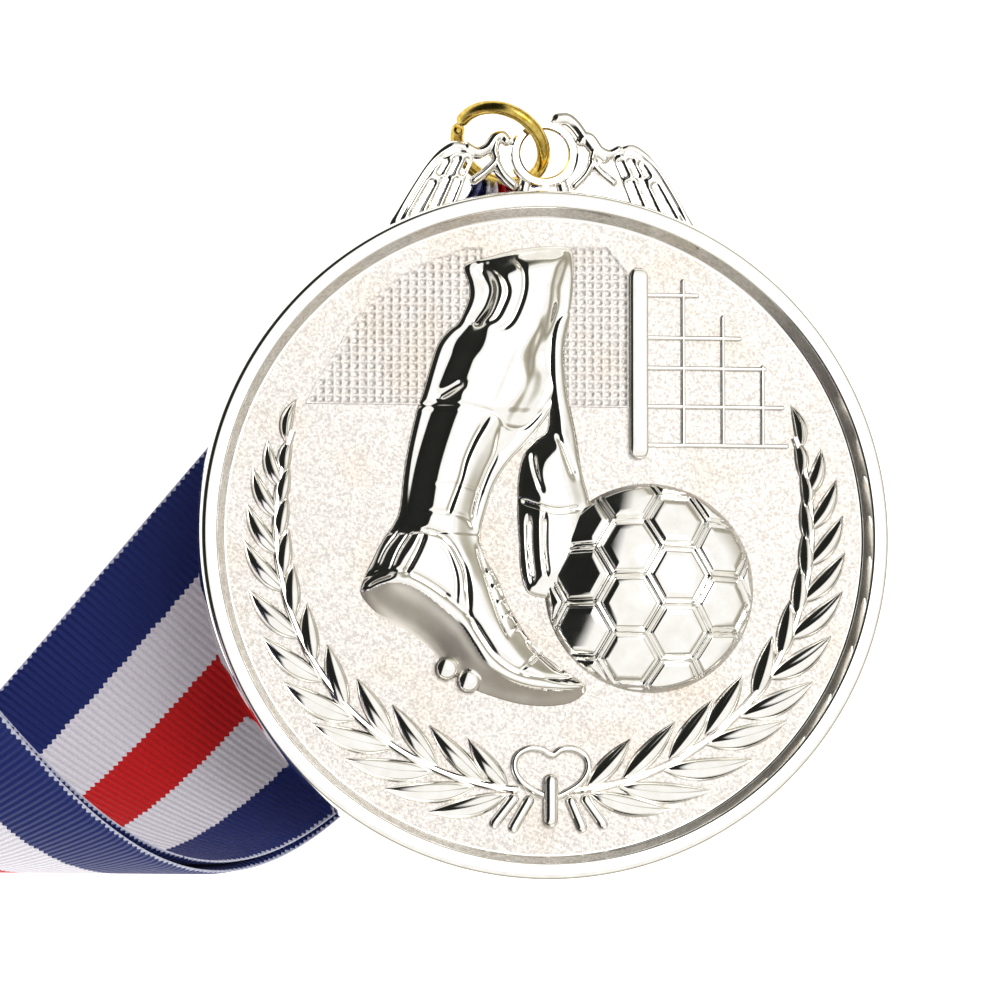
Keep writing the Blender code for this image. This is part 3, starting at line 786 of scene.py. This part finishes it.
EYE = (0.0, 27.8)
eye_profile = [(1.75, 0.15), (1.9, 0.0), (2.3, 0.0), (2.5, 0.2), (2.5, 1.0), (2.3, 1.22), (1.9, 1.22)]
eye_profile += [(1.75, 1.07)]
eye_angle = np.arange(96) * 2 * np.pi / 96
eye_low = BACK_Z / MM + 0.68
eye_points = np.array([
    [(EYE[0] + r * math.cos(a), EYE[1] + r * math.sin(a), eye_low + z) for r, z in eye_profile]
    for a in eye_angle
])
on_medal(solid("hanger_eye", [eye_points * MM], NICKEL, closed_u=True))
web = [bar(-1.6, 24.4, -1.2, 26.2, 0.45, -0.35), bar(1.6, 24.4, 1.2, 26.2, 0.45, -0.35)]
on_medal(solid("eye_web", web, NICKEL))

# ---------------------------------------------------------------- split ring
# A ring of 1 mm brass wire, 6.6 mm across its middle, cut once so that it can be opened.
# It goes through the eye along ring_way, and leans from there along ring_side.

RING_R, WIRE_R = 3.3 * MM, 0.5 * MM
ring_way = np.array([0.05, -0.72, -0.69])
ring_way /= np.linalg.norm(ring_way)
ring_side = np.array([-0.923, 0.231, -0.308])
ring_side -= (ring_side @ ring_way) * ring_way
ring_side /= np.linalg.norm(ring_side)
ring_centre = np.array([EYE[0] * MM, EYE[1] * MM, BACK_Z + 1.3 * MM]) + RING_R * ring_side
ring_low = ring_centre + RING_R * ring_way
ring_normal = np.cross(ring_side, ring_way)


def brass():
    """Drawn brass wire: a yellow mirror with faint drawing marks."""
    material, tree, shader = new_material("drawn_brass")
    place = add_node(tree, "ShaderNodeTexCoord").outputs["Object"]
    mark = add_node(tree, "ShaderNodeTexNoise", {"Scale": 2500.0, "Detail": 2.0}, {"Vector": place})
    yellows = [(0.35, "B8963C"), (0.65, "D6BD68")]
    tint = add_node(tree, "ShaderNodeValToRGB", links={"Fac": mark}, stops=yellows)
    tree.links.new(tint.outputs["Color"], shader.inputs["Base Color"])
    shader.inputs["Metallic"].default_value = 1.0
    shader.inputs["Roughness"].default_value = 0.18
    return material


turn = np.radians(np.linspace(203.0, 557.0, 120))
outward = -np.cos(turn)[:, None] * ring_side + np.sin(turn)[:, None] * ring_way
wire = circle(20)
wire_size = WIRE_R * np.concatenate([[0.7, 0.93], np.ones(116), [0.93, 0.7]])
ring_points = ring_centre + outward[:, None] * (RING_R + wire_size[:, None] * wire[:, 0])[:, :, None]
ring_points = ring_points + ring_normal * (wire_size[:, None] * wire[:, 1])[:, :, None]
ring = solid("brass_ring", [ring_points], brass())
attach(ring, "ring")
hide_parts("split_ring")

# ---------------------------------------------------------------- the ribbon
# One neck loop of ribbed polyester tape, 25.4 mm wide, woven in blue, white and red. It is
# gathered round the ring, folded to and fro under the disc, and then runs out double and
# rolls up towards the far end of the loop.

TAPE_W, TAPE_T = 25.4, 0.45
PAIR = 0.35
PITCH = 1.22
TURN_R = PITCH / 2
RUN, RUNS = 28.6, 8
BAND_Z, BAND_END, CURL_R, CURL_Y = 0.7, 48.0, 16.3, -8.0
NECK = 8.6
band_way, stack_way = math.radians(230.0), math.radians(290.0)
ahead = np.array([math.cos(band_way), math.sin(band_way)])
aside = np.array([ahead[1], -ahead[0]])
stack_ahead = np.array([math.cos(stack_way), math.sin(stack_way)])
stack_aside = np.array([-stack_ahead[1], stack_ahead[0]])
band_point, stack_centre = np.array([-23.5, -12.4]), np.array([2.6, 3.0])
back_steps = np.linalg.solve(np.column_stack([-ahead, -stack_ahead]), stack_centre - band_point)
corner = band_point - back_steps[0] * ahead
first_run = RUN / 2 - back_steps[1]
crease = np.array([math.cos(math.radians(170.0)), math.sin(math.radians(170.0))])
crease_normal = np.array([crease[1], -crease[0]])
LOOP_END = back_steps[0] + BAND_END


def tape_place(t, w, n):
    """The world place of a point of the double tape, in mm.

    t is the length past the crease, below 0 towards the ring; w is the place across, and n the
    lift off the middle of the pair. Ahead of the crease the tape lies on the table and rolls
    up round a line; behind it, it is turned over, folded to and fro, and gathered to the ring.
    """
    flat = corner + t[:, None] * ahead + w[:, None] * aside
    out = np.column_stack([flat, BAND_Z + n])
    beyond = CURL_Y - flat[:, 1]
    angle = np.clip(beyond / CURL_R, 0, math.radians(178.0))
    straight = beyond - angle * CURL_R
    rolled = beyond > 0
    reach = np.sin(angle) * (CURL_R - n) + straight * np.cos(angle)
    out[rolled, 1] = CURL_Y - reach[rolled]
    out[rolled, 2] = (BAND_Z + CURL_R - np.cos(angle) * (CURL_R - n) + straight * np.sin(angle))[rolled]

    past = (flat - corner) @ crease_normal
    along = (flat - corner) @ crease
    angle = np.clip(past / TURN_R, 0, np.pi)
    straight = past - angle * TURN_R
    reach = np.sin(angle) * (TURN_R - n) + straight * np.cos(angle)
    rise = TURN_R - np.cos(angle) * (TURN_R - n) + straight * np.sin(angle)
    turned_over = past > 0
    folded = corner + reach[:, None] * crease_normal + along[:, None] * crease
    out[turned_over, :2] = folded[turned_over]
    out[turned_over, 2] = (BAND_Z + rise)[turned_over]

    travel = (folded - corner) @ stack_ahead
    across = (folded - corner) @ stack_aside
    lift = rise - 2 * TURN_R
    gone = travel - first_run
    arc_length = np.pi * TURN_R
    count = np.clip(np.floor(gone / (RUN + arc_length)), 0, RUNS - 2)
    rest = gone - count * (RUN + arc_length)
    sign = np.where(count % 2 == 0, 1.0, -1.0)
    bend = np.clip(rest / TURN_R, 0, np.pi)
    level = BAND_Z + 2 * TURN_R + count * PITCH
    place = sign * (RUN / 2 + np.sin(bend) * (TURN_R - sign * lift) - np.maximum(rest - arc_length, 0))
    height = level + TURN_R - np.cos(bend) * (TURN_R - sign * lift)
    stacked = turned_over & (gone > 0)
    spot = stack_centre + place[:, None] * stack_ahead + across[:, None] * stack_aside
    out[stacked, :2] = spot[stacked]
    out[stacked, 2] = height[stacked]

    neck = rest - arc_length - RUN
    in_neck = stacked & (count == RUNS - 2) & (neck > 0)
    share = np.clip(neck / NECK, 0, 1)
    ease = share * share * (3 - 2 * share)
    tight = 1 - 0.84 * ease
    foot = stack_centre - RUN / 2 * stack_ahead
    low = ring_low / MM
    sway = foot + share[:, None] * (low[:2] - foot)
    side_way = (1 - ease)[:, None] * np.append(stack_aside, 0) + ease[:, None] * -ring_side
    side_way[:, 2] *= ease**3
    side_way /= np.linalg.norm(side_way, axis=1)[:, None]
    pleat = np.abs((across / TAPE_W * 7 + 0.5) % 1.0 - 0.5) * 4 - 1
    climb = level + PITCH - (level + PITCH - low[2]) * ease
    gathered = np.column_stack([sway, climb - lift + (0.85 * pleat - 0.6) * ease])
    gathered += side_way * (across * tight)[:, None]
    out[in_neck] = gathered[in_neck]
    return out


def tape_rows():
    """The closed line of the tape in (t, n): out on top, round the far end, back, round the ring."""
    neck_end = -(first_run + (RUNS - 1) * (RUN + np.pi * TURN_R) + NECK + 0.4)
    folded, flat = np.arange(neck_end, -40.0, 0.8), np.arange(-40.0, 30.0, 0.6)
    out_way = np.concatenate([folded, flat, np.arange(30.0, LOOP_END, 0.35), [LOOP_END]])
    swell = 1 + 2.2 * np.clip((out_way - LOOP_END + 9) / 9, 0, 1) ** 2
    swell += 2.4 * np.clip((neck_end + 2.5 - out_way) / 2.5, 0, 1)
    top = np.column_stack([out_way, PAIR * swell])
    half = np.linspace(0, np.pi, 16)[1:-1]
    far = np.column_stack([LOOP_END + PAIR * swell[-1] * np.sin(half), PAIR * swell[-1] * np.cos(half)])
    back = top[::-1] * (1, -1)
    near = np.column_stack([neck_end - PAIR * swell[0] * np.sin(half), -PAIR * swell[0] * np.cos(half)])
    return np.concatenate([top, far, back, near])


rows = tape_rows()
tangent = np.roll(rows, -1, axis=0) - np.roll(rows, 1, axis=0)
tangent /= np.linalg.norm(tangent, axis=1)[:, None]
facing = np.column_stack([-tangent[:, 1], tangent[:, 0]])
step = np.linalg.norm(np.roll(rows, -1, axis=0) - rows, axis=1)
length_at = np.concatenate([[0], np.cumsum(step)[:-1]])
columns = np.linspace(-1, 1, 37)
edge_round = np.sqrt(np.clip(1 - np.abs(columns) ** 40, 0.05, 1))
section_w = np.concatenate([columns, columns[::-1]]) * TAPE_W / 2
section_n = np.concatenate([edge_round, -edge_round[::-1]]) * TAPE_T / 2
t_grid = rows[:, :1] + facing[:, :1] * section_n
n_grid = rows[:, 1:] + facing[:, 1:] * section_n
w_grid = np.broadcast_to(section_w, t_grid.shape)
tape_points = tape_place(t_grid.ravel(), w_grid.ravel(), n_grid.ravel()).reshape(*t_grid.shape, 3)
tape_uv = np.stack([np.broadcast_to(length_at[:, None], t_grid.shape), w_grid], axis=-1) * MM


RIB_PITCH = 0.54


def woven_tape():
    """Grosgrain: ribs across the tape as a sine of its length, and stripes by the share of its half width.

    The edges of the stripes step in and out with the ribs, white picots line both sides, and painted shade
    darkens the troughs between the ribs.
    """
    material, tree, shader = new_material("striped_grosgrain")
    uv = add_node(tree, "ShaderNodeTexCoord").outputs["UV"]
    parts = add_node(tree, "ShaderNodeSeparateXYZ", links={"Vector": uv})
    per_rib = {"operation": "MULTIPLY", 1: 2 * math.pi / (RIB_PITCH * MM)}
    rib = add_node(tree, "ShaderNodeMath", per_rib, {0: parts.outputs["X"]})
    wave = add_node(tree, "ShaderNodeMath", {"operation": "SINE"}, {0: rib})
    step_in = add_node(tree, "ShaderNodeMath", {"operation": "MULTIPLY", 1: 0.09 * MM}, {0: wave})
    wander = add_node(tree, "ShaderNodeTexNoise", {"Scale": 900.0, "Detail": 1.0}, {"Vector": uv})
    drift = {"operation": "MULTIPLY_ADD", 1: 0.3 * MM, 2: -0.15 * MM}
    wobble = add_node(tree, "ShaderNodeMath", drift, {0: wander})
    moved = add_node(tree, "ShaderNodeMath", {"operation": "ADD"}, {0: parts.outputs["Y"], 1: wobble})
    mirrored = add_node(tree, "ShaderNodeMath", {"operation": "ABSOLUTE"}, {0: moved})
    across = add_node(tree, "ShaderNodeMath", {"operation": "ADD"}, {0: mirrored, 1: step_in})
    per_half = {"operation": "DIVIDE", 1: TAPE_W / 2 * MM}
    share = add_node(tree, "ShaderNodeMath", per_half, {0: across})
    stripes = [(0.0, "DE1318"), (0.176, "FAF6FF"), (0.562, "10246F"), (0.985, "C9CBE0")]
    dyes = add_node(tree, "ShaderNodeValToRGB", links={"Fac": share}, stops=stripes)
    dyes.color_ramp.interpolation = "CONSTANT"
    threads = add_node(tree, "ShaderNodeTexNoise", {"Scale": 5200.0, "Detail": 2.0}, {"Vector": uv})
    pale = [(0.3, "CFCFCF"), (0.65, "FFFFFF")]
    mottle = add_node(tree, "ShaderNodeValToRGB", links={"Fac": threads}, stops=pale)
    # Painted shade: the same rib sine darkens the colour in every trough between the ribs, on top of the
    # bump.
    lift = add_node(tree, "ShaderNodeMath", {"operation": "MULTIPLY_ADD", 1: 0.5, 2: 0.5}, {0: wave})
    shade = [(0.0, "A8A8B4"), (0.45, "FFFFFF")]
    painted_rib_shade = add_node(tree, "ShaderNodeValToRGB", links={"Fac": lift}, stops=shade)
    colour = dyes.outputs["Color"]
    for layer in (mottle, painted_rib_shade):
        over = {"data_type": "RGBA", "blend_type": "MULTIPLY", 0: 0.32}
        colour = add_node(tree, "ShaderNodeMix", over, {6: colour, 7: layer}).outputs[2]
    height = add_node(tree, "ShaderNodeMath", {"operation": "MULTIPLY_ADD", 1: 0.35}, {0: threads, 2: wave})
    bump = add_node(tree, "ShaderNodeBump", {"Strength": 0.8, "Distance": 0.07 * MM}, {"Height": height})
    tree.links.new(colour, shader.inputs["Base Color"])
    tree.links.new(bump.outputs["Normal"], shader.inputs["Normal"])
    shader.inputs["Roughness"].default_value = 0.55
    shader.inputs["Sheen Weight"].default_value = 0.05
    shader.inputs["Specular IOR Level"].default_value = 0.25
    return material


tape = solid("striped_ribbon", [tape_points * MM], woven_tape(), closed_u=True, uv=tape_uv)
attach(tape, "ribbon")
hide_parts("ribbon_folds", "ribbon_curl", "ribbon_neck")

# ---------------------------------------------------------------- sewing
# White polyester thread in a tight zigzag closes the gathered end, just below the ring.

SEAM_WIDE, SEAM_HALF, STITCH_Z = 2.8, 0.38, 7.6
STITCHES = 27
stitch_y = ring_low[1] / MM - 3.4 - 0.4
turns = np.arange(STITCHES)
stitch_x = ring_low[0] / MM - 1.4 + SEAM_WIDE * turns / (STITCHES - 1)
swing = SEAM_HALF * np.where(turns % 2 == 0, 1, -1)
zigzag = np.column_stack([stitch_x, stitch_y + swing, np.full(STITCHES, STITCH_Z)])
thread_material, _, thread_shader = new_material("sewing_thread")
thread_shader.inputs["Base Color"].default_value = linear("E6E6EE")
thread_shader.inputs["Roughness"].default_value = 0.6
stitches = solid("zigzag_stitches", [sweep(zigzag, 0.09, 0.09, circle(8)) * MM], thread_material)
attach(stitches, "ribbon")
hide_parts("bar_tack")
